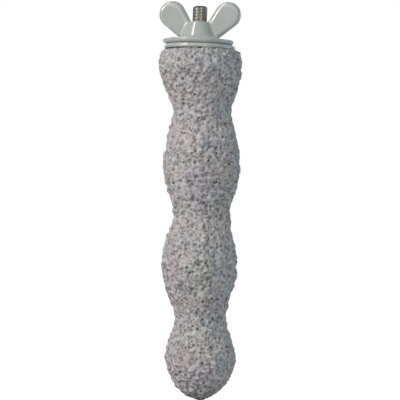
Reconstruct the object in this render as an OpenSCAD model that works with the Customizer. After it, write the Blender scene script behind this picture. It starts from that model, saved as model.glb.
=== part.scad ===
// Bird perch that clamps to the wires of a cage.
// A rough mineral body waves along a hardwood dowel. A hanger bolt stands out of its flat end
// and carries two round-edged washers and a wing nut, which close on the cage wires between them.
// Z runs along the bolt towards its free end, and z = 0 is the plane where the washers meet.

/* [Mineral body] */
// Length of the body from its flat end to its tip
body_len = 152.4; // [130:0.1:180]
// Diameter of the widest swell
swell_d = 36.8; // [34:0.1:44]
// Mineral left round the dowel at the narrowest waist
waist_cover = 3.2; // [2:0.1:4.5]
// Mineral between the dowel's end and the body's tip
tip_cover = 12; // [9:0.5:16]
// Diameter of the flat end that the inner washer sits on
flat_d = 28.6; // [26:0.1:30]
// Height of the rounded shoulder between the flat end and the first swell
shoulder_h = 6.5; // [4:0.1:7.5]
// Angle that the body leans away from the bolt, towards the X axis
body_lean = 2.2; // [0:0.1:3]
// Distance from the bolt's axis to the body's at the flat end, along the X axis
body_off = 0.7; // [0:0.1:1]
// Height from the deepest hollow to the highest lump of the casting
lump_h = 1.4; // [0:0.1:2]
// Distance between neighbouring lumps
lump_pitch = 6.8; // [5.5:0.1:12]

/* [Dowel core] */
// Diameter of the hardwood dowel
core_d = 15.9; // [14:0.1:18]
// Chamfer on the dowel's ends
core_chamfer = 1; // [0.4:0.1:2]
// Cement bed between the dowel and the mineral, on the radius
core_bed = 0.1; // [0.05:0.01:0.2]

/* [Hanger bolt] */
// Major diameter of the machine thread
stud_d = 6.35; // [5.5:0.05:7]
// Length of the whole bolt
bolt_len = 50.8; // [46:0.2:60]
// Length of the wood screw end with its point
lag_len = 25.4; // [20:0.2:28]
// Diameter of the wood screw end
lag_d = 6; // [4.5:0.1:6.3]
// Length of the wood screw's point
lag_point_len = 6; // [4:0.1:8]
// Chamfer on the bolt's free end
stud_chamfer = 0.6; // [0.2:0.1:1.2]
// How far the bolt stands out of the wing nut when the clamp is closed
stud_proud = 7.1; // [3:0.1:9]
// Room round the wood screw end in its pilot hole, on the radius
pilot_room = 0.1; // [0.05:0.01:0.2]
// Room between the wood screw's point and the pilot hole's end
pilot_end_room = 0.3; // [0.2:0.05:0.6]

/* [Washers] */
// Outside diameter of each washer
washer_d = 30.8; // [28:0.1:34]
// Thickness of each washer
washer_t = 2.1; // [2.1:0.1:3]
// Rounding of a washer's rim on the side of the bolt's free end
washer_top_r = 0.6; // [0.2:0.1:0.6]
// Rounding of a washer's rim on the side of the body
washer_under_r = 1.4; // [0.6:0.1:1.4]
// Room between the washers' holes and the bolt, on the radius
washer_room = 0.5; // [0.2:0.05:0.8]
// Gap left between the bolt and the side of its hole that each loose washer hangs towards
washer_side_gap = 0.1; // [0.05:0.05:0.2]

/* [Wing nut hub] */
// Height of the hub
hub_h = 7.7; // [7:0.05:10]
// Diameter of the hub's top
hub_top_d = 9.8; // [9:0.1:11]
// Diameter of the hub where its foot begins to flare
hub_waist_d = 15.6; // [14:0.1:16.5]
// Diameter of the hub's foot, which presses on the outer washer
hub_foot_d = 17.3; // [16.8:0.1:19]
// Height of the straight rim under the flared foot
foot_rim_h = 0.5; // [0.3:0.1:1]
// Radius of the flare above the rim
foot_flare_r = 1.4; // [0.8:0.1:2]
// Rounding of the hub's top edge
hub_round = 0.7; // [0.3:0.1:1.2]
// Room between the wing nut's thread and the bolt, on the radius
nut_room = 0.06; // [0.03:0.01:0.1]
// Chamfer on both mouths of the nut's bore
bore_chamfer = 0.4; // [0.2:0.1:0.8]
// Angle from the X axis to the wings where the closed nut has come to rest
nut_turn = -14; // [-90:1:90]

/* [Wings] */
// Distance between the outermost points of the two wings
wing_span = 36.5; // [33:0.1:40]
// Height of the wings above the hub's foot
wing_rise = 16.8; // [15:0.05:19]
// Radius of a wing's round tip
wing_tip_r = 5.9; // [4.8:0.05:6.5]
// Half the width of a wing at its root inside the hub
wing_root_r = 3.8; // [3:0.05:4]
// Distance of the wing's root from the bolt's axis
wing_root_out = 5.25; // [4.8:0.05:5.6]
// Height of the wing's root above the hub's foot
wing_root_up = 2.75; // [2.7:0.05:3.2]
// Thickness of a wing before its fillet
wing_t = 3.8; // [2.6:0.1:4.8]
// Width of the rounding along a wing's inner edge, which faces the bolt
wing_inner_round = 2.8; // [1.2:0.1:3]
// Width of the rounding along a wing's outer edge
wing_outer_round = 1.2; // [0.8:0.1:2]
// Radius of the fillet between a wing and the hub
wing_fillet_r = 2; // [1:0.1:2.6]

/* [Hidden] */

// Circles of the exact round pieces
$fn = 96;
// Overrun of a cut beyond the face that it opens
overrun = 1;
// Points round the body, on each of its waves, on its shoulder and on its tip
round_body_steps = 44;
wave_steps = 10;
shoulder_steps = 6;
tip_steps = 10;
// Each turning point of the outline below the shoulder: its place along the body,
// and its width between the narrowest waist, 0, and the widest swell, 1
wave_shares = [
    [0.043, 1.00],
    [0.176, 0.22],
    [0.323, 0.79],
    [0.472, 0.17],
    [0.608, 0.74],
    [0.762, 0.00],
    [0.879, 0.57]
];
// Below 1 the swells are fuller and the waists tighter than a cosine wave
fullness_share = 0.8;
// Power of the tip's oval: 2 would be an ellipse
tip_power_share = 1.75;
// Seed of the lumps' heights, and how far each row of lumps is turned from the last
lump_seed = 4;
row_turn_share = 0.4;

// Heights of the faces along the bolt
flat_z = -washer_t;
nut_z = washer_t;
stud_tip_z = nut_z + hub_h + stud_proud;
stud_end_z = stud_tip_z - bolt_len;
lag_top_z = stud_end_z + lag_len;
tip_z = flat_z - body_len;
core_end_z = tip_z + tip_cover;
// Height above the flat end from which the leaning body and dowel are cut back square to the bolt
square_cut_z = flat_z + flat_d / 2 * tan(body_lean) + overrun;

// How far each washer hangs off the bolt's axis
washer_off = washer_room - washer_side_gap;

swell_r = swell_d / 2;
core_r = core_d / 2;
pocket_r = core_r + core_bed;
waist_r = pocket_r + waist_cover;
stud_r = stud_d / 2;
lag_r = lag_d / 2;

// Points along the wings, across each face and round their tips
wing_steps = 12;
wing_tip_steps = 8;
wing_face_steps = 18;

// Middle of a wing's round tip, from the bolt's axis and the hub's foot
wing_tip_out = wing_span / 2 - wing_tip_r;
wing_tip_up = wing_rise - wing_tip_r;
wing_len = norm([wing_tip_out - wing_root_out, wing_tip_up - wing_root_up]);
wing_lean = atan2(wing_tip_up - wing_root_up, wing_tip_out - wing_root_out);
// Angle at which a wing's straight edges spread from its middle line
wing_spread = asin((wing_tip_r - wing_root_r) / wing_len);
// Where the straight edges run into the round tip
wing_turn = wing_len - wing_tip_r * sin(wing_spread);

function mix(a, b, share) = a + (b - a) * share;

// Mineral body

// Height and radius of a turning point of the outline
function turn_z(i) = flat_z - body_len * wave_shares[i][0];
function turn_r(i) = mix(waist_r, swell_r, wave_shares[i][1]);

// Share of the way from a waist to a swell
function wave(share) = pow((1 - cos(180 * share)) / 2, fullness_share);

// Outline between two turning points, with its first point and without its last
function wave_points(i) =
    let (rising = turn_r(i + 1) > turn_r(i))
    [for (k = [0 : wave_steps - 1])
        let (share = k / wave_steps)
        [
            rising
                ? mix(turn_r(i), turn_r(i + 1), wave(share))
                : mix(turn_r(i + 1), turn_r(i), wave(1 - share)),
            mix(turn_z(i), turn_z(i + 1), share)
        ]];

// Rounded shoulder from the flat end to the first swell
function shoulder_points() =
    [for (k = [0 : shoulder_steps - 1])
        let (turn = 90 * k / shoulder_steps)
        [
            flat_d / 2 + (turn_r(0) - flat_d / 2) * sin(turn),
            flat_z + (turn_z(0) - flat_z) * (1 - cos(turn))
        ]];

// Oval tip below the last swell
function tip_points(last) =
    [for (k = [0 : tip_steps])
        let (turn = 90 * k / tip_steps)
        [
            turn_r(last) * pow(abs(cos(turn)), 2 / tip_power_share),
            mix(turn_z(last), tip_z, pow(sin(turn), 2 / tip_power_share))
        ]];

// The body's side before its lumps, from above the flat end down to the tip
function body_outline() =
    let (last = len(wave_shares) - 1)
    concat(
        [[flat_d / 2, square_cut_z]],
        shoulder_points(),
        [for (i = [0 : last - 1]) each wave_points(i)],
        [for (p = tip_points(last)) if (p[1] > tip_z) p]
    );

// Heights of the lumps, row by row from the flat end down
lumps_round = round(PI * swell_d / lump_pitch);
lump_rows = ceil(body_len / lump_pitch) + 1;
lump_heights = rands(-1, 1, lumps_round * (lump_rows + 1), lump_seed);

function eased(share) = (1 - cos(180 * share)) / 2;

function row_height(turn, row) =
    let (
        place = turn / 360 * lumps_round + row * row_turn_share,
        before = floor(place) % lumps_round,
        after = (before + 1) % lumps_round
    )
    mix(
        lump_heights[row * lumps_round + before],
        lump_heights[row * lumps_round + after],
        eased(place - floor(place))
    );

// How far the casting stands out of the plain outline, at a turn round it and a height
function lump(turn, z) =
    let (
        place = max(flat_z - z, 0) / lump_pitch,
        row = floor(place)
    )
    lump_h / 2 * mix(row_height(turn, row), row_height(turn, row + 1), eased(place - row));

// The lumpy body; its lumps fade out towards the tip
module casting() {
    outline = body_outline();
    around = round_body_steps;
    last = len(outline) - 1;
    points = concat(
        [for (p = outline) for (k = [0 : around - 1])
            let (
                turn = 360 * k / around,
                r = p[0] + lump(turn, p[1]) * min(p[0] / lump_pitch, 1)
            )
            [r * cos(turn), r * sin(turn), p[1]]],
        [[0, 0, tip_z]]
    );
    side = [for (i = [0 : last - 1]) for (k = [0 : around - 1])
        let (
            a = i * around + k,
            b = i * around + (k + 1) % around
        )
        each [[a, b, b + around], [a, b + around, a + around]]];
    tip_fan = [for (k = [0 : around - 1])
        [last * around + k, last * around + (k + 1) % around, len(points) - 1]];
    top_face = [[for (k = [0 : around - 1]) around - 1 - k]];
    polyhedron(points = points, faces = concat(top_face, side, tip_fan), convexity = 6);
}

// A solid turned about the bolt's axis from points of radius and height
module turned(points) {
    rotate_extrude() polygon(points);
}

// A chamfered rod between two heights
module rod(r, low, high, low_chamfer, high_chamfer) {
    turned([
        [0, low],
        [r - low_chamfer, low],
        [r, low + low_chamfer],
        [r, high - high_chamfer],
        [r - high_chamfer, high],
        [0, high]
    ]);
}

// Leans a part of the body about the middle of the flat end
module leaned() {
    translate([body_off, 0, flat_z])
        rotate([0, -body_lean, 0])
            translate([0, 0, -flat_z]) children();
}

// All that stands above the flat end, to be cut away
module above_flat() {
    translate([0, 0, flat_z])
        cylinder(h = 2 * (square_cut_z - flat_z), r = swell_r);
}

module mineral_coat() {
    color("#aaa4a3")
    difference() {
        leaned() casting();
        // pocket that the dowel fills, open at the flat end
        leaned()
            translate([0, 0, core_end_z])
                cylinder(h = square_cut_z - core_end_z + overrun, r = pocket_r);
        above_flat();
    }
}

// Hanger bolt and its hole in the dowel

// The bolt's wood screw end, made wider by room, with its point lowered by end_room
module lag_shape(room, end_room) {
    turned([
        [0, stud_end_z - end_room],
        [lag_r + room, stud_end_z - end_room + lag_point_len],
        [lag_r + room, lag_top_z],
        [0, lag_top_z]
    ]);
}

module hanger_bolt() {
    color("#7d7c6c") {
        rod(stud_r, lag_top_z, stud_tip_z, 0, stud_chamfer);
        lag_shape(0, 0);
    }
}

module core() {
    color("#c9a877")
    difference() {
        leaned() rod(core_r, core_end_z, square_cut_z, core_chamfer, 0);
        above_flat();
        lag_shape(pilot_room, pilot_end_room);
        translate([0, 0, lag_top_z])
            cylinder(h = flat_z - lag_top_z + overrun, r = stud_r + pilot_room);
    }
}

// Washers

rim_steps = 8;

// A quarter circle of radius r round a middle, from one angle to 90 degrees on
function quarter(middle, r, from) =
    [for (k = [0 : rim_steps])
        let (turn = from + 90 * k / rim_steps)
        middle + r * [cos(turn), sin(turn)]];

// A washer from z = 0 up, with a rounded rim
module washer() {
    rim = washer_d / 2;
    hole_r = stud_r + washer_room;
    turned(concat(
        [[hole_r, 0]],
        quarter([rim - washer_under_r, washer_under_r], washer_under_r, -90),
        quarter([rim - washer_top_r, washer_t - washer_top_r], washer_top_r, 0),
        [[hole_r, washer_t]]
    ));
}

module inner_washer() {
    color("#a3aaa4")
        translate([washer_off, 0, flat_z])
            washer();
}

module outer_washer() {
    color("#a6ada7")
        translate([-washer_off, 0, 0])
            washer();
}

// Wing nut

// Radius of the trumpet-shaped hub at a height above its foot
function hub_cone_r(z) = mix(hub_waist_d / 2, hub_top_d / 2, z / hub_h);
function foot_flare(z) =
    let (rise = max(z - foot_rim_h, 0) / foot_flare_r)
    rise < 1 ? 1 - sqrt(1 - pow(1 - rise, 2)) : 0;
function hub_r(z) = hub_cone_r(z) + (hub_foot_d / 2 - hub_cone_r(foot_rim_h)) * foot_flare(z);

flare_steps = 8;
round_steps = 5;

// Half of the hub's section, from the foot to the rounded top edge
function hub_outline() =
    let (
        shoulder_z = hub_h - hub_round,
        shoulder_r = hub_r(shoulder_z)
    )
    concat(
        [[0, 0], [hub_foot_d / 2 - foot_rim_h / 2, 0], [hub_foot_d / 2, foot_rim_h / 2]],
        [for (k = [0 : flare_steps])
            let (z = foot_rim_h + foot_flare_r * (1 - cos(90 * k / flare_steps)))
            [hub_r(z), z]],
        [for (k = [0 : round_steps])
            let (turn = 90 * k / round_steps)
            [
                shoulder_r - hub_round * (1 - cos(turn)),
                shoulder_z + hub_round * sin(turn)
            ]],
        [[0, hub_h]]
    );

// Half width of a wing at a distance along its middle line
function wing_half_w(along) =
    along < wing_turn
        ? wing_root_r / cos(wing_spread) + along * tan(wing_spread)
        : sqrt(max(pow(wing_tip_r, 2) - pow(along - wing_len, 2), 0));

// Distance from a point of the wing's face in to its outline
function wing_depth(along, aside) =
    let (
        w = abs(aside),
        back = along - wing_len,
        straight = w * sin(wing_spread) + back * cos(wing_spread) < 0
    )
    wing_tip_r - (straight
        ? w * cos(wing_spread) - back * sin(wing_spread)
        : norm([w, back]));

// Oval rise of the face over its rounded edge, 0 at the outline and 1 on the flat
function wing_edge(depth, width) =
    depth < width ? sqrt(max(1 - pow(1 - depth / width, 2), 0)) : 1;

// Half thickness of a wing at a distance out from the bolt's axis, with the fillet whose circle
// touches both the wing's flat face, at flat_t, and the round hub, of radius around
function filleted_t(out, around, flat_t) =
    let (
        centre_y = flat_t + wing_fillet_r,
        centre_x = sqrt(pow(around + wing_fillet_r, 2) - pow(centre_y, 2)),
        hub_x = centre_x * around / (around + wing_fillet_r),
        back = max(centre_x - max(out, hub_x), 0)
    )
    centre_y - sqrt(pow(wing_fillet_r, 2) - pow(back, 2));

// Point on a wing, from its place along and beside the middle line, on the face named by side
function wing_point(along, aside, side) =
    let (
        out = wing_root_out + along * cos(wing_lean) + aside * sin(wing_lean),
        up = wing_root_up + along * sin(wing_lean) - aside * cos(wing_lean),
        half_t = filleted_t(out, hub_r(min(max(up, 0), hub_h)), wing_t / 2),
        edge = mix(wing_inner_round, wing_outer_round, (1 + aside / wing_tip_r) / 2)
    )
    [out, side * half_t * wing_edge(wing_depth(along, aside), edge), up];

// Distances along the wing at which its sections stand, all but the tip itself
function wing_stations() = concat(
    [for (k = [0 : wing_steps - 1]) wing_turn * k / wing_steps],
    [for (k = [0 : wing_tip_steps - 1])
        wing_len + wing_tip_r * sin(mix(-wing_spread, 90, k / wing_tip_steps))]
);

// One section of the wing, round both faces
function wing_section(along) =
    let (half_w = wing_half_w(along))
    [for (k = [0 : 2 * wing_face_steps - 1])
        let (
            side = k < wing_face_steps ? 1 : -1,
            turn = 180 * k / wing_face_steps
        )
        wing_point(along, half_w * cos(turn), side)];

// One wing on the side of the positive X axis
module wing() {
    stations = wing_stations();
    around = 2 * wing_face_steps;
    last = len(stations) - 1;
    points = concat(
        [for (along = stations) each wing_section(along)],
        [wing_point(wing_len + wing_tip_r, 0, 1)]
    );
    skin = [for (i = [0 : last - 1]) for (k = [0 : around - 1])
        let (
            a = i * around + k,
            b = i * around + (k + 1) % around
        )
        each [[a, b + around, b], [a, a + around, b + around]]];
    tip_fan = [for (k = [0 : around - 1])
        [last * around + k, len(points) - 1, last * around + (k + 1) % around]];
    root_face = [for (k = [0 : wing_face_steps - 1])
        let (far = around - k)
        each [
            if (k < wing_face_steps - 1) [k, k + 1, far - 1],
            if (k > 0) [k, far - 1, far]
        ]];
    polyhedron(points = points, faces = concat(root_face, skin, tip_fan), convexity = 4);
}

module wing_nut() {
    bore_r = stud_r + nut_room;
    color("#a8afa9")
    translate([0, 0, nut_z])
    rotate([0, 0, nut_turn])
        difference() {
            union() {
                turned(hub_outline());
                for (turn = [0, 180])
                    rotate([0, 0, turn]) wing();
            }
            translate([0, 0, -overrun])
                cylinder(h = wing_rise + 2 * overrun, r = bore_r);
            // chamfered mouths that lead the bolt in
            cylinder(h = bore_chamfer, r1 = bore_r + bore_chamfer, r2 = bore_r);
            translate([0, 0, hub_h - bore_chamfer])
                cylinder(h = bore_chamfer, r1 = bore_r, r2 = bore_r + bore_chamfer);
        }
}

mineral_coat();
core();
hanger_bolt();
inner_washer();
outer_washer();
wing_nut();
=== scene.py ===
import math

import bpy
import numpy as np
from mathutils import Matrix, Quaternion, Vector


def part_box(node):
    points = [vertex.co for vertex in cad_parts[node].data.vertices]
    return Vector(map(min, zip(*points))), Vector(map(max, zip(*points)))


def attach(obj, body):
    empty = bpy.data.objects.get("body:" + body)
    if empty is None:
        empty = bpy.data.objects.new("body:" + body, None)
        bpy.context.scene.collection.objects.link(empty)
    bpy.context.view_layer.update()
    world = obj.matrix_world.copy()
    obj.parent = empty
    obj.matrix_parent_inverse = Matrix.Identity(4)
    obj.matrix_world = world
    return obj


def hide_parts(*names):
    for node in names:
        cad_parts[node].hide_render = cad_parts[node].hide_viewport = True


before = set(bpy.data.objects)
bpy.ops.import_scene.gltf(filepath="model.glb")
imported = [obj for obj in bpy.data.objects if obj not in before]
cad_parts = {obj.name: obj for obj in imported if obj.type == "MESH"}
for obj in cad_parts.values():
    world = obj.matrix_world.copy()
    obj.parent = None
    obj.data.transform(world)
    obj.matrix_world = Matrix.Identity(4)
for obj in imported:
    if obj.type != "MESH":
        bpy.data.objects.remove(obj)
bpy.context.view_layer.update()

MM = 0.001
FLAT_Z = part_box("mineral_coat")[1].z
BODY_TIP_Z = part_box("mineral_coat")[0].z
STUD_TIP_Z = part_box("hanger_bolt")[1].z
STUD_END_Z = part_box("hanger_bolt")[0].z

# How near corners are merged, and how near its place a face or edge is picked
MERGE_DISTANCE = 0.002 * MM
PICK_ROOM = 0.05 * MM

# Picture: 400 px square, seen level from half the perch's height, with the body upright in it
PHOTO_PX = 400
PX = 0.434 * MM
BOLT_AXIS_PX = 198.8
CLAMP_PLANE_PX = 44.5
CAMERA_DISTANCE = 1.0
SENSOR_MM = 36.0

# Mineral body, which stands off the bolt and leans from it towards +X
BODY_OFF = 0.7 * MM
BODY_LEAN = math.radians(2.2)
COAT_VOXEL = 0.47 * MM
COAT_SMOOTH_PASSES = 4
# Pocket for the dowel, drilled from the flat end until this much is left before the tip
POCKET_R = 8.05 * MM
TIP_COVER = 12.0 * MM
POCKET_END_ROOM = 0.1 * MM
DRILL_SIDES = 64
# Grit this near the washer is raised to bed it in, and cut off just short of it
SEAT_DEPTH = 1.6 * MM
SEAT_RISE = 0.5 * MM
SEAT_ROOM = 0.03 * MM
# Relief of the casting: the middle is the texture's value that stays where it is
LUMP_GRAIN = 2.2 * MM
LUMP_HEIGHT = 1.4 * MM
LUMP_MIDDLE = 0.73
# Each kind of bubble: its spacing, and the share of it at which the bubble's rim is level again
BUBBLE_KINDS = {"large_bubbles": (2.2 * MM, 0.4), "small_bubbles": (1.5 * MM, 0.5)}
BUBBLE_FLOOR = 0.1
BUBBLE_HEIGHT = 0.6 * MM
BUBBLE_MIDDLE = 0.95
# Rows of height and of the casting's stray sideways from the dowel's axis, both in mm
STRAY = (
    (-2.1, -0.2),
    (-8.6, 0.05),
    (-19.0, 0.8),
    (-29.0, 1.0),
    (-40.0, 0.65),
    (-50.5, 0.85),
    (-62.0, 0.6),
    (-74.0, 0.4),
    (-88.0, -0.75),
    (-106.0, -0.3),
    (-118.0, -0.1),
    (-125.0, -0.4),
    (-136.0, -0.15),
    (-145.0, 0.4),
    (-154.5, -0.35),
)

# Hanger bolt: a 1/4 inch machine thread outside, a wood screw end inside the dowel
STUD_R = 3.175 * MM
STUD_PITCH = 1.27 * MM
STUD_LENGTH = 25.4 * MM
STUD_CHAMFER = 0.6 * MM
STUD_SIDES = 96
# In the photograph the free end is this much lower than the solid's
STUD_SHORTER = 0.35 * MM
# Wider crests and narrower roots than the standard's, because the photograph shows the thread faintly
STUD_CREST = 0.74 * STUD_PITCH
STUD_ROOT = 0.06 * STUD_PITCH
LAG_R = 3.0 * MM
LAG_ROOT_R = 2.2 * MM
LAG_PITCH = 2.4 * MM
LAG_POINT = 6.0 * MM
LAG_SIDES = 64
THREAD_STEPS = 48
THREAD_EDGE_ANGLE = math.radians(28)
TRIM_ROOM = 0.01 * MM

# Washers and wing nut
WASHER_HOLE_R = 3.675 * MM
WASHER_HOLE_BEVEL = 0.25 * MM
WASHER_SIDES = 160
WASHER_RIM_STEPS = 8
WASHER_HOLE_STEPS = 3
WASHER_EDGE_ANGLE = math.radians(30)
# Rounding of each washer's rim on the side of the bolt's free end and on the body's
WASHER_RIMS = {"inner_washer": (1.25 * MM, 0.7 * MM), "outer_washer": (0.6 * MM, 1.45 * MM)}
NUT_VOXEL = 0.21 * MM
NUT_SMOOTH_PASSES = 24

# Sizes of the patterns in the cast pumice: features, or the distance between neighbours
SWIRL_SIZE = 1.5 * MM
SWIRL_PUSH = 0.7 * MM
BUBBLE_SPACING = 1.8 * MM
HOLE_SPACING = 4.5 * MM
PATCH_SIZE = 13 * MM
GRAIN_SIZE = 0.8 * MM
SAND_SIZE = 0.9 * MM

# Sizes of the patterns in the plastic
CLOUD_SIZE = 7 * MM
SMEAR_SIZE = 2.5 * MM
RIPPLE_SIZE = 1.2 * MM

# Sizes of the patterns in the steel, and the radii between which its thread turns from darker to paler
BLOTCH_SIZE = 1.5 * MM
DARKER_ROOT_R = 2.9 * MM
PALER_CREST_R = 3.1 * MM

# Sizes of the patterns in the wood, and how much finer they are across the grain than along it
RING_SPACING = 1.6 * MM
FIBRE_SIZE = 0.5 * MM
GRAIN_STRETCH = 0.04
# A Wave texture has this many bands in one unit of its scale
BANDS_IN_SCALE = 20

# Studio: all lamps aim at one point of the perch
LAMP_TARGET = Vector((0, 0, BODY_TIP_Z / 3))
FLOOR_SIZE = 6.0
FLOOR_CUTS = 8
# The share of the floor's surface that glows white for the camera, and how strongly
FLOOR_GLOW_SHARE = 0.82
FLOOR_GLOW = 1.18
# Share of the white backdrop in what gloss reflects
GLOSS_SHARE = 0.35

# Sockets of the Mix node when it mixes colours, and its settings to darken one colour by another
MIX_FACTOR, MIX_A, MIX_B, MIX_COLOUR = 0, 6, 7, 2
MULTIPLY = {"data_type": "RGBA", "blend_type": "MULTIPLY"}


def linear_colour(hex_text):
    """Turns an sRGB hex colour into the linear RGBA that shaders take."""
    channels = [int(hex_text[i : i + 2], 16) / 255 for i in (1, 3, 5)]
    return [c / 12.92 if c <= 0.04045 else ((c + 0.055) / 1.055) ** 2.4 for c in channels] + [1.0]


def add_node(tree, kind, values=None, links=None, stops=None, **settings):
    """Adds a node with its socket values, its links {socket: (node, output)}, its ramp's stops, the two
    ends first, and its settings."""
    node = tree.nodes.new(kind)
    for name, value in settings.items():
        setattr(node, name, value)
    for socket, value in (values or {}).items():
        node.inputs[socket].default_value = value
    for socket, (source, output) in (links or {}).items():
        tree.links.new(source.outputs[output], node.inputs[socket])
    for i, (position, colour) in enumerate(stops or ()):
        ramp = node.color_ramp.elements
        stop = ramp[i] if i < 2 else ramp.new(position)
        stop.position = position
        stop.color = linear_colour(colour)
    return node


def start_material(name):
    """A new material with its node tree, its surface shader and the object's own coordinates."""
    material = bpy.data.materials.new(name)
    material.use_nodes = True
    tree = material.node_tree
    return material, tree, tree.nodes["Principled BSDF"], add_node(tree, "ShaderNodeTexCoord")


def select_only(*pieces):
    """Selects these pieces alone, in object mode, with the first one active."""
    if bpy.context.mode != "OBJECT":
        bpy.ops.object.mode_set(mode="OBJECT")
    bpy.ops.object.select_all(action="DESELECT")
    for piece in pieces:
        piece.select_set(True)
    bpy.context.view_layer.objects.active = pieces[0]


def add_primitive(operator, **shape):
    """Adds a primitive as an object of its own."""
    if bpy.context.mode != "OBJECT":
        bpy.ops.object.mode_set(mode="OBJECT")
    bpy.ops.object.select_all(action="DESELECT")
    operator(**shape)
    return bpy.context.object


def edit(piece, mode="VERT", pick=None):
    """Opens the piece in edit mode with everything selected, or only the vertices, edges or faces whose
    corners pick is true for."""
    select_only(piece)
    bpy.ops.object.mode_set(mode="EDIT")
    bpy.ops.mesh.select_mode(type=mode)
    bpy.ops.mesh.select_all(action="SELECT" if pick is None else "DESELECT")
    if pick is None:
        return
    bpy.ops.object.mode_set(mode="OBJECT")
    mesh = piece.data
    parts = {"VERT": mesh.vertices, "EDGE": mesh.edges, "FACE": mesh.polygons}[mode]
    for part in parts:
        corners = [part.co] if mode == "VERT" else [mesh.vertices[i].co for i in part.vertices]
        part.select = pick(corners)
    bpy.ops.object.mode_set(mode="EDIT")


def apply_modifier(piece, kind, **settings):
    """Gives the piece a modifier with these settings and makes its result the mesh."""
    select_only(piece)
    modifier = piece.modifiers.new(kind.lower(), kind)
    for key, value in settings.items():
        setattr(modifier, key, value)
    bpy.ops.object.modifier_apply(modifier=modifier.name)


def remesh(piece, voxel, passes):
    """Rebuilds the mesh from small even faces and smooths them, so that its corners melt into curves."""
    apply_modifier(piece, "REMESH", mode="VOXEL", voxel_size=voxel)
    apply_modifier(piece, "SMOOTH", factor=0.5, iterations=passes)


def combine(piece, other, operation):
    """Cuts the piece by the other, or keeps what lies inside both; the other is used up."""
    apply_modifier(piece, "BOOLEAN", operation=operation, object=other, solver="EXACT")
    bpy.data.objects.remove(other)


def place_in_mesh(piece, name, material=None):
    """Names a piece, gives it its material, and moves its place from the object into the mesh."""
    piece.name = name
    piece.data.name = name
    select_only(piece)
    bpy.ops.object.transform_apply(location=True, rotation=True, scale=True)
    if material:
        piece.data.materials.clear()
        piece.data.materials.append(material)
    return piece


def copy_of_node(node, name, material):
    """A new piece that starts as a CAD node's shape, with its loose triangles merged."""
    piece = bpy.data.objects.new(name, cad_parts[node].data.copy())
    bpy.context.scene.collection.objects.link(piece)
    edit(piece)
    bpy.ops.mesh.remove_doubles(threshold=MERGE_DISTANCE)
    return place_in_mesh(piece, name, material)


def finish_piece(piece, body, node):
    """Makes the piece ride on its body, and hides the CAD node whose place it takes."""
    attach(piece, body)
    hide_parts(node)


# Surface of the casting


def solid_texture(name, kind, grain, stops=None, **settings):
    """A solid texture with features about as large as grain, and its own ramp where stops are given."""
    texture = bpy.data.textures.new(name, kind)
    texture.noise_scale = grain
    for key, value in settings.items():
        setattr(texture, key, value)
    if stops:
        texture.use_color_ramp = True
        texture.color_ramp.interpolation = "EASE"
        for element, (position, grey) in zip(texture.color_ramp.elements, stops):
            element.position = position
            element.color = (grey, grey, grey, 1)
    return texture


def displace(piece, texture, height, mid_level):
    """Pushes the surface out along its normals by the texture, and in where that is under mid_level."""
    apply_modifier(
        piece,
        "DISPLACE",
        texture=texture,
        texture_coords="LOCAL",
        direction="NORMAL",
        strength=height,
        mid_level=mid_level,
    )


def vertex_vectors(piece, name):
    """The places or normals of all vertices, one in each row."""
    values = np.empty(len(piece.data.vertices) * 3, np.float32)
    piece.data.vertices.foreach_get(name, values)
    return values.reshape(-1, 3)


def stray_at(z):
    """Sideways stray of the casting at height z, eased between the rows of STRAY."""
    height = z / MM
    for (top, stray), (low, next_stray) in zip(STRAY, STRAY[1:]):
        if height >= low:
            share = min(max((top - height) / (top - low), 0), 1)
            return (stray + (next_stray - stray) * (1 - math.cos(math.pi * share)) / 2) * MM
    return STRAY[-1][1] * MM


def lean_body(body, way):
    """Leans an upright body as it stands on the bolt where way is 1, and sets a leaning one upright
    where it is -1."""
    select_only(body)
    if way < 0:
        bpy.ops.transform.translate(value=(-BODY_OFF, 0, 0))
    bpy.ops.transform.rotate(value=way * BODY_LEAN, orient_axis="Y", center_override=(0, 0, FLAT_Z))
    if way > 0:
        bpy.ops.transform.translate(value=(BODY_OFF, 0, 0))
    bpy.ops.object.transform_apply(location=True, rotation=True, scale=True)


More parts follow.
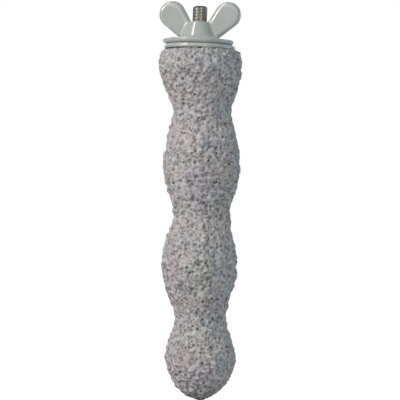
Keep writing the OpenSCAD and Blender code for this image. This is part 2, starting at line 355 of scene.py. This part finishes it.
def make_mineral_coat(material):
    """The rough casting: the CAD outline, bent a little off straight, with lumps, grit and open bubbles."""
    coat = copy_of_node("mineral_coat", "rough_mineral_coat", material)
    # upright while it is shaped
    lean_body(coat, -1)
    pocket_end = min(vertex.co.z for vertex in coat.data.vertices) + TIP_COVER - POCKET_END_ROOM
    wall_r = POCKET_R + PICK_ROOM
    lowest = pocket_end - PICK_ROOM
    edit(coat, "FACE", lambda corners: all(c.xy.length < wall_r and c.z > lowest for c in corners))
    bpy.ops.mesh.delete(type="FACE")
    edit(coat)
    bpy.ops.mesh.fill_holes(sides=0)
    bpy.ops.mesh.normals_make_consistent(inside=False)
    remesh(coat, COAT_VOXEL, COAT_SMOOTH_PASSES)
    for vertex in coat.data.vertices:
        vertex.co.x += stray_at(vertex.co.z)

    lumps = solid_texture("lumps_of_grit", "CLOUDS", LUMP_GRAIN, noise_depth=0)
    displace(coat, lumps, LUMP_HEIGHT, LUMP_MIDDLE)
    # the bubbles are kept as a depth too, by which the material paints shade into them
    plain = vertex_vectors(coat, "co")
    outward = vertex_vectors(coat, "normal")
    for name, (spacing, rim) in BUBBLE_KINDS.items():
        bubbles = solid_texture(name, "VORONOI", spacing, ((BUBBLE_FLOOR, 0.0), (rim, 1.0)))
        displace(coat, bubbles, BUBBLE_HEIGHT, BUBBLE_MIDDLE)
    sunk = ((plain - vertex_vectors(coat, "co")) * outward).sum(axis=1) / MM
    depth = coat.data.attributes.new("depth_mm", "FLOAT", "POINT")
    depth.data.foreach_set("value", sunk.astype(np.float32))

    drill = add_primitive(
        bpy.ops.mesh.primitive_cylinder_add,
        vertices=DRILL_SIDES,
        radius=POCKET_R,
        depth=2 * (FLAT_Z - pocket_end),
        location=(0, 0, FLAT_Z),
    )
    combine(coat, drill, "DIFFERENCE")
    lean_body(coat, 1)
    # the grit is flat where the washer sits and where the tip touches the mould's end
    for vertex in coat.data.vertices:
        rise = SEAT_RISE * max(1 - (FLAT_Z - vertex.co.z) / SEAT_DEPTH, 0)
        vertex.co.z = min(max(vertex.co.z + rise, BODY_TIP_Z + SEAT_ROOM), FLAT_Z - SEAT_ROOM)
    select_only(coat)
    bpy.ops.object.shade_smooth()
    finish_piece(coat, "perch", "mineral_coat")


# Hanger bolt


def wound_thread(name, outline, pitch, low, high):
    """A screw thread: one pitch of its outline, as (radius, height), wound past both ends of the rod
    that will trim it."""
    # a pitch and a half too low, with two turns too many
    start = low - 1.5 * pitch
    points = [(r, start + z) for r, z in outline]
    thread = add_primitive(bpy.ops.mesh.primitive_plane_add, size=MM)
    thread.name = name
    edit(thread)
    bpy.ops.mesh.merge(type="CENTER")
    bpy.ops.transform.translate(value=(points[0][0], 0, points[0][1]))
    for (r0, z0), (r1, z1) in zip(points, points[1:]):
        bpy.ops.mesh.extrude_vertices_move(TRANSFORM_OT_translate={"value": (r1 - r0, 0, z1 - z0)})
    apply_modifier(
        thread,
        "SCREW",
        axis="Z",
        angle=2 * math.pi,
        screw_offset=pitch,
        iterations=math.ceil((high - low) / pitch) + 2,
        steps=THREAD_STEPS,
        render_steps=THREAD_STEPS,
    )
    edit(thread)
    bpy.ops.mesh.remove_doubles(threshold=MERGE_DISTANCE)
    bpy.ops.mesh.fill_holes(sides=0)
    bpy.ops.mesh.normals_make_consistent(inside=False)
    return thread


def make_stud():
    """The machine thread, cut to length and chamfered at its free end."""
    low = STUD_TIP_Z - STUD_LENGTH
    tip = STUD_TIP_Z - STUD_SHORTER
    # the two flanks stand at 60 degrees to each other
    flank = (STUD_PITCH - STUD_CREST - STUD_ROOT) / 2
    root_r = STUD_R - flank * math.sqrt(3)
    outline = [
        (root_r, 0),
        (root_r, STUD_ROOT / 2),
        (STUD_R, STUD_ROOT / 2 + flank),
        (STUD_R, STUD_ROOT / 2 + flank + STUD_CREST),
        (root_r, STUD_PITCH - STUD_ROOT / 2),
        (root_r, STUD_PITCH),
    ]
    stud = wound_thread("threaded_stud", outline, STUD_PITCH, low, tip)
    rod = add_primitive(
        bpy.ops.mesh.primitive_cylinder_add,
        vertices=STUD_SIDES,
        radius=STUD_R + TRIM_ROOM,
        depth=tip - low,
        location=(0, 0, (low + tip) / 2),
    )
    edit(rod, "FACE", lambda corners: all(c.z > 0 for c in corners))
    bpy.ops.mesh.region_to_loop()
    bpy.ops.mesh.bevel(offset=STUD_CHAMFER, segments=1, affect="EDGES")
    combine(stud, rod, "INTERSECT")
    return stud


def make_wood_screw_end():
    """A coarse thread on a slim shank, cut to a point."""
    high = STUD_TIP_Z - STUD_LENGTH
    # bare shank for half a pitch, a rising flank, a sharp crest and a flank back to the shank
    outline = [
        (LAG_ROOT_R, 0),
        (LAG_ROOT_R, 0.5 * LAG_PITCH),
        (LAG_R, 0.72 * LAG_PITCH),
        (LAG_R, 0.78 * LAG_PITCH),
        (LAG_ROOT_R, LAG_PITCH),
    ]
    screw = wound_thread("wood_screw_end", outline, LAG_PITCH, STUD_END_Z, high)
    blank = add_primitive(
        bpy.ops.mesh.primitive_cone_add,
        vertices=LAG_SIDES,
        radius1=0,
        radius2=LAG_R + TRIM_ROOM,
        depth=LAG_POINT,
        location=(0, 0, STUD_END_Z + LAG_POINT / 2),
    )
    edit(blank, "FACE", lambda corners: len(corners) > 4)
    shank = high - STUD_END_Z - LAG_POINT
    bpy.ops.mesh.extrude_region_move(TRANSFORM_OT_translate={"value": (0, 0, shank)})
    combine(screw, blank, "INTERSECT")
    return screw


def make_hanger_bolt(material):
    """The bolt as one piece: the machine thread outside and the wood screw end inside the dowel."""
    stud = make_stud()
    screw = make_wood_screw_end()
    select_only(stud, screw)
    bpy.ops.object.join()
    place_in_mesh(stud, "hanger_bolt_threads", material)
    bpy.ops.object.shade_smooth_by_angle(angle=THREAD_EDGE_ANGLE)
    finish_piece(stud, "perch", "hanger_bolt")


# Washers and wing nut


def make_washer(node, name, material):
    """A thick moulded washer: a disc with its hole bridged through and both edges of its rim rounded."""
    low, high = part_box(node)
    radius = (high.x - low.x) / 2
    thickness = high.z - low.z
    washer = add_primitive(
        bpy.ops.mesh.primitive_cylinder_add,
        vertices=WASHER_SIDES,
        radius=radius,
        depth=thickness,
        location=(low + high) / 2,
    )
    edit(washer, "FACE", lambda corners: len(corners) > 4)
    bpy.ops.mesh.inset(thickness=radius - WASHER_HOLE_R)
    bpy.ops.mesh.bridge_edge_loops()
    rim = radius - PICK_ROOM
    for face_z, rim_r in zip((thickness / 2, -thickness / 2), WASHER_RIMS[node]):
        edit(
            washer,
            "EDGE",
            lambda corners: all(c.xy.length > rim and abs(c.z - face_z) < PICK_ROOM for c in corners),
        )
        bpy.ops.mesh.bevel(offset=rim_r, segments=WASHER_RIM_STEPS, affect="EDGES")
    edit(
        washer,
        "EDGE",
        lambda corners: all(c.xy.length < WASHER_HOLE_R + PICK_ROOM for c in corners)
        and abs(corners[0].z - corners[1].z) < PICK_ROOM,
    )
    bpy.ops.mesh.bevel(offset=WASHER_HOLE_BEVEL, segments=WASHER_HOLE_STEPS, affect="EDGES")
    place_in_mesh(washer, name, material)
    bpy.ops.object.shade_smooth_by_angle(angle=WASHER_EDGE_ANGLE)
    finish_piece(washer, node, node)


def make_wing_nut(material):
    """The wing nut as one moulding: its wings melt smoothly into the hub, and every edge is soft."""
    nut = copy_of_node("wing_nut", "moulded_wing_nut", material)
    remesh(nut, NUT_VOXEL, NUT_SMOOTH_PASSES)
    select_only(nut)
    bpy.ops.object.shade_smooth()
    finish_piece(nut, "wing_nut", "wing_nut")


# Materials


def cast_pumice():
    """Crushed pumice cast in pale cement: dry, pinkish grey grit with no shine, with painted shade inside
    every open bubble."""
    material, tree, shader, place = start_material("cast_pumice")
    # bubbles are pushed out of round by SWIRL_PUSH at most
    swirl = add_node(
        tree,
        "ShaderNodeTexNoise",
        {"Scale": 1 / SWIRL_SIZE, "Detail": 1.0},
        {"Vector": (place, "Object")},
    )
    swirled = add_node(
        tree,
        "ShaderNodeVectorMath",
        {1: (SWIRL_PUSH, SWIRL_PUSH, SWIRL_PUSH)},
        {0: (swirl, "Color"), 2: (place, "Object")},
        operation="MULTIPLY_ADD",
    )
    # open bubbles about 1 mm wide, darkened by painted shade, with pale grit standing between them
    bubbles = add_node(
        tree,
        "ShaderNodeTexVoronoi",
        {"Scale": 1 / BUBBLE_SPACING},
        {"Vector": (swirled, "Vector")},
        feature="F1",
    )
    painted_bubble_shade = add_node(
        tree,
        "ShaderNodeValToRGB",
        links={"Fac": (bubbles, "Distance")},
        stops=((0.12, "#b0adad"), (0.6, "#fafafa"), (0.34, "#e4e2e2")),
    )
    # here and there a deeper hole, about 1.2 mm wide, darkened by painted shade
    holes = add_node(
        tree,
        "ShaderNodeTexVoronoi",
        {"Scale": 1 / HOLE_SPACING},
        {"Vector": (swirled, "Vector")},
        feature="F1",
    )
    painted_hole_shade = add_node(
        tree,
        "ShaderNodeValToRGB",
        links={"Fac": (holes, "Distance")},
        stops=((0.09, "#8a8686"), (0.17, "#ffffff")),
    )
    # the painted shade of the bubbles and the holes together
    painted_pit_shade = add_node(
        tree,
        "ShaderNodeMix",
        {MIX_FACTOR: 1.0},
        {MIX_A: (painted_bubble_shade, "Color"), MIX_B: (painted_hole_shade, "Color")},
        **MULTIPLY,
    )
    # painted shade in the modelled bubbles and hollows, darker where deeper
    depth = add_node(tree, "ShaderNodeAttribute", attribute_name="depth_mm")
    painted_depth_shade = add_node(
        tree,
        "ShaderNodeValToRGB",
        links={"Fac": (depth, "Fac")},
        stops=((0.0, "#cdc8ca"), (0.8, "#9c9899"), (0.3, "#c1bcbe")),
    )
    # the painted shade of the depth and of the pits together
    shade = add_node(
        tree,
        "ShaderNodeMix",
        {MIX_FACTOR: 1.0},
        {MIX_A: (painted_depth_shade, "Color"), MIX_B: (painted_pit_shade, MIX_COLOUR)},
        **MULTIPLY,
    )
    # soft patches that are greener or pinker than the cement, and others that are yellower or bluer
    patches = add_node(
        tree,
        "ShaderNodeTexNoise",
        {"Scale": 1 / PATCH_SIZE, "Detail": 1.5},
        {"Vector": (place, "Object")},
    )
    patterns = add_node(tree, "ShaderNodeSeparateColor", links={"Color": (patches, "Color")})
    pink_patches = add_node(
        tree,
        "ShaderNodeValToRGB",
        links={"Fac": (patterns, "Red")},
        stops=((0.35, "#f8fffb"), (0.65, "#fffbfa")),
    )
    blue_patches = add_node(
        tree,
        "ShaderNodeValToRGB",
        links={"Fac": (patterns, "Green")},
        stops=((0.35, "#fffff9"), (0.65, "#f9faff")),
    )
    pinked = add_node(
        tree,
        "ShaderNodeMix",
        {MIX_FACTOR: 1.0},
        {MIX_A: (shade, MIX_COLOUR), MIX_B: (pink_patches, "Color")},
        **MULTIPLY,
    )
    tinted = add_node(
        tree,
        "ShaderNodeMix",
        {MIX_FACTOR: 1.0},
        {MIX_A: (pinked, MIX_COLOUR), MIX_B: (blue_patches, "Color")},
        **MULTIPLY,
    )
    # grains, each its own grey
    grains = add_node(
        tree,
        "ShaderNodeTexVoronoi",
        {"Scale": 1 / GRAIN_SIZE},
        {"Vector": (place, "Object")},
        feature="F1",
    )
    grain_grey = add_node(
        tree,
        "ShaderNodeValToRGB",
        links={"Fac": (grains, "Color")},
        stops=((0.15, "#d4d4d4"), (0.85, "#ffffff")),
    )
    grainy = add_node(
        tree,
        "ShaderNodeMix",
        {MIX_FACTOR: 1.0},
        {MIX_A: (tinted, MIX_COLOUR), MIX_B: (grain_grey, "Color")},
        **MULTIPLY,
    )
    tree.links.new(grainy.outputs[MIX_COLOUR], shader.inputs["Base Color"])
    # relief of the bubbles, and on it sand, drawn coarse enough to show
    walls = add_node(
        tree,
        "ShaderNodeMapRange",
        {"From Min": 0.12, "From Max": 0.55},
        {"Value": (bubbles, "Distance")},
        interpolation_type="SMOOTHSTEP",
    )
    bubble_relief = add_node(
        tree, "ShaderNodeBump", {"Strength": 0.6, "Distance": 0.45 * MM}, {"Height": (walls, "Result")}
    )
    sand = add_node(
        tree,
        "ShaderNodeTexNoise",
        {"Scale": 1 / SAND_SIZE, "Detail": 2.0, "Roughness": 0.5},
        {"Vector": (place, "Object")},
    )
    relief = add_node(
        tree,
        "ShaderNodeBump",
        {"Strength": 0.45, "Distance": 0.25 * MM},
        {"Height": (sand, "Fac"), "Normal": (bubble_relief, "Normal")},
    )
    tree.links.new(relief.outputs["Normal"], shader.inputs["Normal"])
    roughness = add_node(
        tree, "ShaderNodeMapRange", {"To Min": 0.85, "To Max": 1.0}, {"Value": (sand, "Fac")}
    )
    tree.links.new(roughness.outputs["Result"], shader.inputs["Roughness"])
    shader.inputs["IOR"].default_value = 1.45
    shader.inputs["Specular IOR Level"].default_value = 0.25
    return material


def moulded_plastic():
    """Hard grey-green plastic from a polished mould: a clear gloss, broken by faint ripples, smears
    and dust."""
    material, tree, shader, place = start_material("moulded_plastic")
    # the pigment's slow clouds
    clouds = add_node(
        tree,
        "ShaderNodeTexNoise",
        {"Scale": 1 / CLOUD_SIZE, "Detail": 2.0},
        {"Vector": (place, "Object")},
    )
    pigment = add_node(
        tree,
        "ShaderNodeValToRGB",
        links={"Fac": (clouds, "Fac")},
        stops=((0.3, "#9fa6a0"), (0.7, "#abb0ab")),
    )
    # corners rubbed paler by fingers and cage wires
    shape = add_node(tree, "ShaderNodeNewGeometry")
    rubbed = add_node(
        tree,
        "ShaderNodeMapRange",
        {"From Min": 0.56, "From Max": 0.66, "To Min": 0.0, "To Max": 0.35},
        {"Value": (shape, "Pointiness")},
    )
    worn = add_node(
        tree,
        "ShaderNodeMix",
        {MIX_B: linear_colour("#bcc2bd")},
        {MIX_FACTOR: (rubbed, "Result"), MIX_A: (pigment, "Color")},
        data_type="RGBA",
    )
    tree.links.new(worn.outputs[MIX_COLOUR], shader.inputs["Base Color"])
    # smears where it was handled
    smears = add_node(
        tree,
        "ShaderNodeTexNoise",
        {"Scale": 1 / SMEAR_SIZE, "Detail": 4.0, "Roughness": 0.6},
        {"Vector": (place, "Object")},
    )
    roughness = add_node(
        tree,
        "ShaderNodeMapRange",
        {"From Min": 0.3, "From Max": 0.7, "To Min": 0.13, "To Max": 0.24},
        {"Value": (smears, "Fac")},
    )
    # dust dulls the gloss in the creases
    dust = add_node(
        tree,
        "ShaderNodeMapRange",
        {"From Min": 0.491, "From Max": 0.4965, "To Min": 0.7, "To Max": 0.0},
        {"Value": (shape, "Pointiness")},
    )
    dulled = add_node(
        tree, "ShaderNodeMath", links={0: (roughness, "Result"), 1: (dust, "Result")}, operation="ADD"
    )
    tree.links.new(dulled.outputs["Value"], shader.inputs["Roughness"])
    # ripples left by shrinking in the mould
    ripples = add_node(
        tree,
        "ShaderNodeTexNoise",
        {"Scale": 1 / RIPPLE_SIZE, "Detail": 1.0},
        {"Vector": (place, "Object")},
    )
    relief = add_node(
        tree, "ShaderNodeBump", {"Strength": 0.2, "Distance": 0.05 * MM}, {"Height": (ripples, "Fac")}
    )
    tree.links.new(relief.outputs["Normal"], shader.inputs["Normal"])
    shader.inputs["IOR"].default_value = 1.5
    shader.inputs["Specular IOR Level"].default_value = 0.9
    return material


def plated_steel():
    """Zinc-plated carbon steel with a rolled thread: yellowish grey metal, darker down in the thread's
    root."""
    material, tree, shader, place = start_material("zinc_plated_steel")
    axes = add_node(tree, "ShaderNodeSeparateXYZ", links={"Vector": (place, "Object")})
    across = add_node(tree, "ShaderNodeCombineXYZ", links={"X": (axes, "X"), "Y": (axes, "Y")})
    radius = add_node(tree, "ShaderNodeVectorMath", links={0: (across, "Vector")}, operation="LENGTH")
    height = add_node(
        tree,
        "ShaderNodeMapRange",
        {"From Min": DARKER_ROOT_R, "From Max": PALER_CREST_R},
        {"Value": (radius, "Value")},
    )
    # the metal's colour is darker towards the thread's root
    metal = add_node(
        tree,
        "ShaderNodeValToRGB",
        links={"Fac": (height, "Result")},
        stops=((0.0, "#6e6d64"), (0.9, "#94948b")),
    )
    # the zinc's blotches
    blotches = add_node(
        tree,
        "ShaderNodeTexNoise",
        {"Scale": 1 / BLOTCH_SIZE, "Detail": 4.0},
        {"Vector": (place, "Object")},
    )
    blotch_colour = add_node(
        tree,
        "ShaderNodeValToRGB",
        links={"Fac": (blotches, "Fac")},
        stops=((0.3, "#d3d2c8"), (0.7, "#ffffff")),
    )
    blotched = add_node(
        tree,
        "ShaderNodeMix",
        {MIX_FACTOR: 1.0},
        {MIX_A: (metal, "Color"), MIX_B: (blotch_colour, "Color")},
        **MULTIPLY,
    )
    tree.links.new(blotched.outputs[MIX_COLOUR], shader.inputs["Base Color"])
    roughness = add_node(
        tree,
        "ShaderNodeMapRange",
        {"From Min": 0.3, "From Max": 0.7, "To Min": 0.26, "To Max": 0.46},
        {"Value": (blotches, "Fac")},
    )
    tree.links.new(roughness.outputs["Result"], shader.inputs["Roughness"])
    relief = add_node(
        tree, "ShaderNodeBump", {"Strength": 0.4, "Distance": 0.03 * MM}, {"Height": (blotches, "Fac")}
    )
    tree.links.new(relief.outputs["Normal"], shader.inputs["Normal"])
    shader.inputs["Metallic"].default_value = 1.0
    return material


def turned_hardwood():
    """Plain pale hardwood, turned and sanded: straight fine grain along the dowel, with no finish."""
    material, tree, shader, place = start_material("turned_hardwood")
    # growth rings and fibres, drawn out along the dowel
    stretch = add_node(
        tree, "ShaderNodeMapping", {"Scale": (1.0, 1.0, GRAIN_STRETCH)}, {"Vector": (place, "Object")}
    )
    rings = add_node(
        tree,
        "ShaderNodeTexWave",
        {
            "Scale": 1 / (BANDS_IN_SCALE * RING_SPACING),
            "Distortion": 3.0,
            "Detail": 2.0,
            "Detail Scale": 1.5,
        },
        {"Vector": (stretch, "Vector")},
        wave_type="BANDS",
        bands_direction="X",
    )
    fibres = add_node(
        tree,
        "ShaderNodeTexNoise",
        {"Scale": 1 / FIBRE_SIZE, "Detail": 3.0},
        {"Vector": (stretch, "Vector")},
    )
    grain = add_node(
        tree,
        "ShaderNodeValToRGB",
        links={"Fac": (rings, "Fac")},
        stops=((0.1, "#cfae7e"), (0.9, "#b98f5c")),
    )
    fibre_colour = add_node(
        tree,
        "ShaderNodeValToRGB",
        links={"Fac": (fibres, "Fac")},
        stops=((0.3, "#d8cdbd"), (0.7, "#ffffff")),
    )
    wood = add_node(
        tree,
        "ShaderNodeMix",
        {MIX_FACTOR: 1.0},
        {MIX_A: (grain, "Color"), MIX_B: (fibre_colour, "Color")},
        **MULTIPLY,
    )
    tree.links.new(wood.outputs[MIX_COLOUR], shader.inputs["Base Color"])
    roughness = add_node(
        tree, "ShaderNodeMapRange", {"To Min": 0.55, "To Max": 0.75}, {"Value": (fibres, "Fac")}
    )
    tree.links.new(roughness.outputs["Result"], shader.inputs["Roughness"])
    relief = add_node(
        tree, "ShaderNodeBump", {"Strength": 0.5, "Distance": 0.05 * MM}, {"Height": (fibres, "Fac")}
    )
    tree.links.new(relief.outputs["Normal"], shader.inputs["Normal"])
    return material


# Studio


def make_camera():
    """The photograph's view: level, and turned with the lean so that the body is upright in it."""
    data = bpy.data.cameras.new("camera")
    camera = bpy.data.objects.new("camera", data)
    bpy.context.scene.collection.objects.link(camera)
    middle = PHOTO_PX / 2
    right = Vector((math.cos(BODY_LEAN), 0, math.sin(BODY_LEAN)))
    up = Vector((-math.sin(BODY_LEAN), 0, math.cos(BODY_LEAN)))
    camera.location = right * (middle - BOLT_AXIS_PX) * PX + up * (CLAMP_PLANE_PX - middle) * PX
    camera.location.y = -CAMERA_DISTANCE
    camera.rotation_euler = (math.pi / 2, -BODY_LEAN, 0)
    data.sensor_width = SENSOR_MM
    data.lens = SENSOR_MM * CAMERA_DISTANCE / (PHOTO_PX * PX)
    bpy.context.scene.camera = camera


def add_softbox(name, azimuth, elevation, distance, size, power, colour="#ffffff", slant=0):
    """A rectangular lamp aimed at the perch. Azimuth is in degrees to the right of the camera, and
    elevation above level. Slant turns it about its aim, which leans its top to the right where positive."""
    data = bpy.data.lights.new(name, "AREA")
    data.shape = "RECTANGLE"
    data.size, data.size_y = size
    data.energy = power
    data.color = linear_colour(colour)[:3]
    lamp = bpy.data.objects.new(name, data)
    bpy.context.scene.collection.objects.link(lamp)
    a, e = math.radians(azimuth), math.radians(elevation)
    away = Vector((math.sin(a) * math.cos(e), -math.cos(a) * math.cos(e), math.sin(e)))
    lamp.location = LAMP_TARGET + away * distance
    turned = away.to_track_quat("Z", "Y") @ Quaternion((0, 0, 1), math.radians(-slant))
    lamp.rotation_euler = turned.to_euler()


def sees_backdrop(tree):
    """Is 1 for rays from the camera and through glass, and a share in gloss, which also sees the darker
    room in front."""
    path = add_node(tree, "ShaderNodeLightPath")
    gloss = add_node(
        tree,
        "ShaderNodeMath",
        {1: GLOSS_SHARE},
        {0: (path, "Is Glossy Ray"), 2: (path, "Is Camera Ray")},
        operation="MULTIPLY_ADD",
    )
    return add_node(
        tree,
        "ShaderNodeMath",
        links={0: (gloss, "Value"), 1: (path, "Is Transmission Ray")},
        operation="MAXIMUM",
    )


def make_white_room():
    """A room that is white to look at and lights the perch only faintly."""
    world = bpy.data.worlds.new("white_room")
    world.use_nodes = True
    bpy.context.scene.world = world
    tree = world.node_tree
    ambient = tree.nodes["Background"]
    ambient.inputs["Color"].default_value = linear_colour("#d1f0f5")
    ambient.inputs["Strength"].default_value = 0.3
    white = add_node(tree, "ShaderNodeBackground", {"Color": linear_colour("#ffffff"), "Strength": 1.0})
    room = add_node(
        tree,
        "ShaderNodeMixShader",
        links={0: (sees_backdrop(tree), "Value"), 1: (ambient, "Background"), 2: (white, "Background")},
    )
    tree.links.new(room.outputs["Shader"], tree.nodes["World Output"].inputs["Surface"])


def make_paper_floor():
    """Pale paper under the tip that the perch stands on, which shows its shadow."""
    floor = add_primitive(bpy.ops.mesh.primitive_plane_add, size=FLOOR_SIZE, location=(0, 0, BODY_TIP_Z))
    floor.name = "paper_floor"
    edit(floor)
    bpy.ops.mesh.subdivide(number_cuts=FLOOR_CUTS)
    bpy.ops.object.mode_set(mode="OBJECT")
    paper, tree, shader, _ = start_material("white_paper")
    shader.inputs["Base Color"].default_value = linear_colour("#c4c4c4")
    shader.inputs["Roughness"].default_value = 0.9
    glow = add_node(
        tree, "ShaderNodeEmission", {"Color": linear_colour("#ffffff"), "Strength": FLOOR_GLOW}
    )
    share = add_node(
        tree,
        "ShaderNodeMath",
        {1: FLOOR_GLOW_SHARE},
        {0: (sees_backdrop(tree), "Value")},
        operation="MULTIPLY",
    )
    surface = add_node(
        tree,
        "ShaderNodeMixShader",
        links={0: (share, "Value"), 1: (shader, "BSDF"), 2: (glow, "Emission")},
    )
    tree.links.new(surface.outputs["Shader"], tree.nodes["Material Output"].inputs["Surface"])
    floor.data.materials.append(paper)


def make_lamps():
    """The key light comes from the front left, as in the photograph; the rest fills the shadows."""
    add_softbox("left_strip", -60, 48, 1.0, (0.12, 0.6), 3.8, "#fff2f2", slant=-20)
    add_softbox("low_softbox", -54, 20, 1.1, (0.28, 0.13), 4.2, "#fff2f2")
    add_softbox("key_softbox", -28, 29, 1.2, (0.5, 0.5), 1.6, "#fff1f1")
    add_softbox("front_fill", -4, 24, 1.3, (0.6, 0.4), 1.1)
    add_softbox("right_strip", 20, 8, 1.2, (0.1, 0.4), 1.5)
    add_softbox("right_fill", 100, 6, 1.3, (0.7, 0.8), 4.0, "#cde4fc")
    add_softbox("back_fill", -170, 25, 1.4, (0.9, 0.9), 7.0)


make_camera()
make_white_room()
make_paper_floor()
make_lamps()

plastic = moulded_plastic()
make_mineral_coat(cast_pumice())
make_hanger_bolt(plated_steel())
make_washer("inner_washer", "lower_washer", plastic)
make_washer("outer_washer", "upper_washer", plastic)
make_wing_nut(plastic)
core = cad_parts["core"]
core.data.materials.clear()
core.data.materials.append(turned_hardwood())

bpy.context.scene.view_settings.view_transform = "Standard"
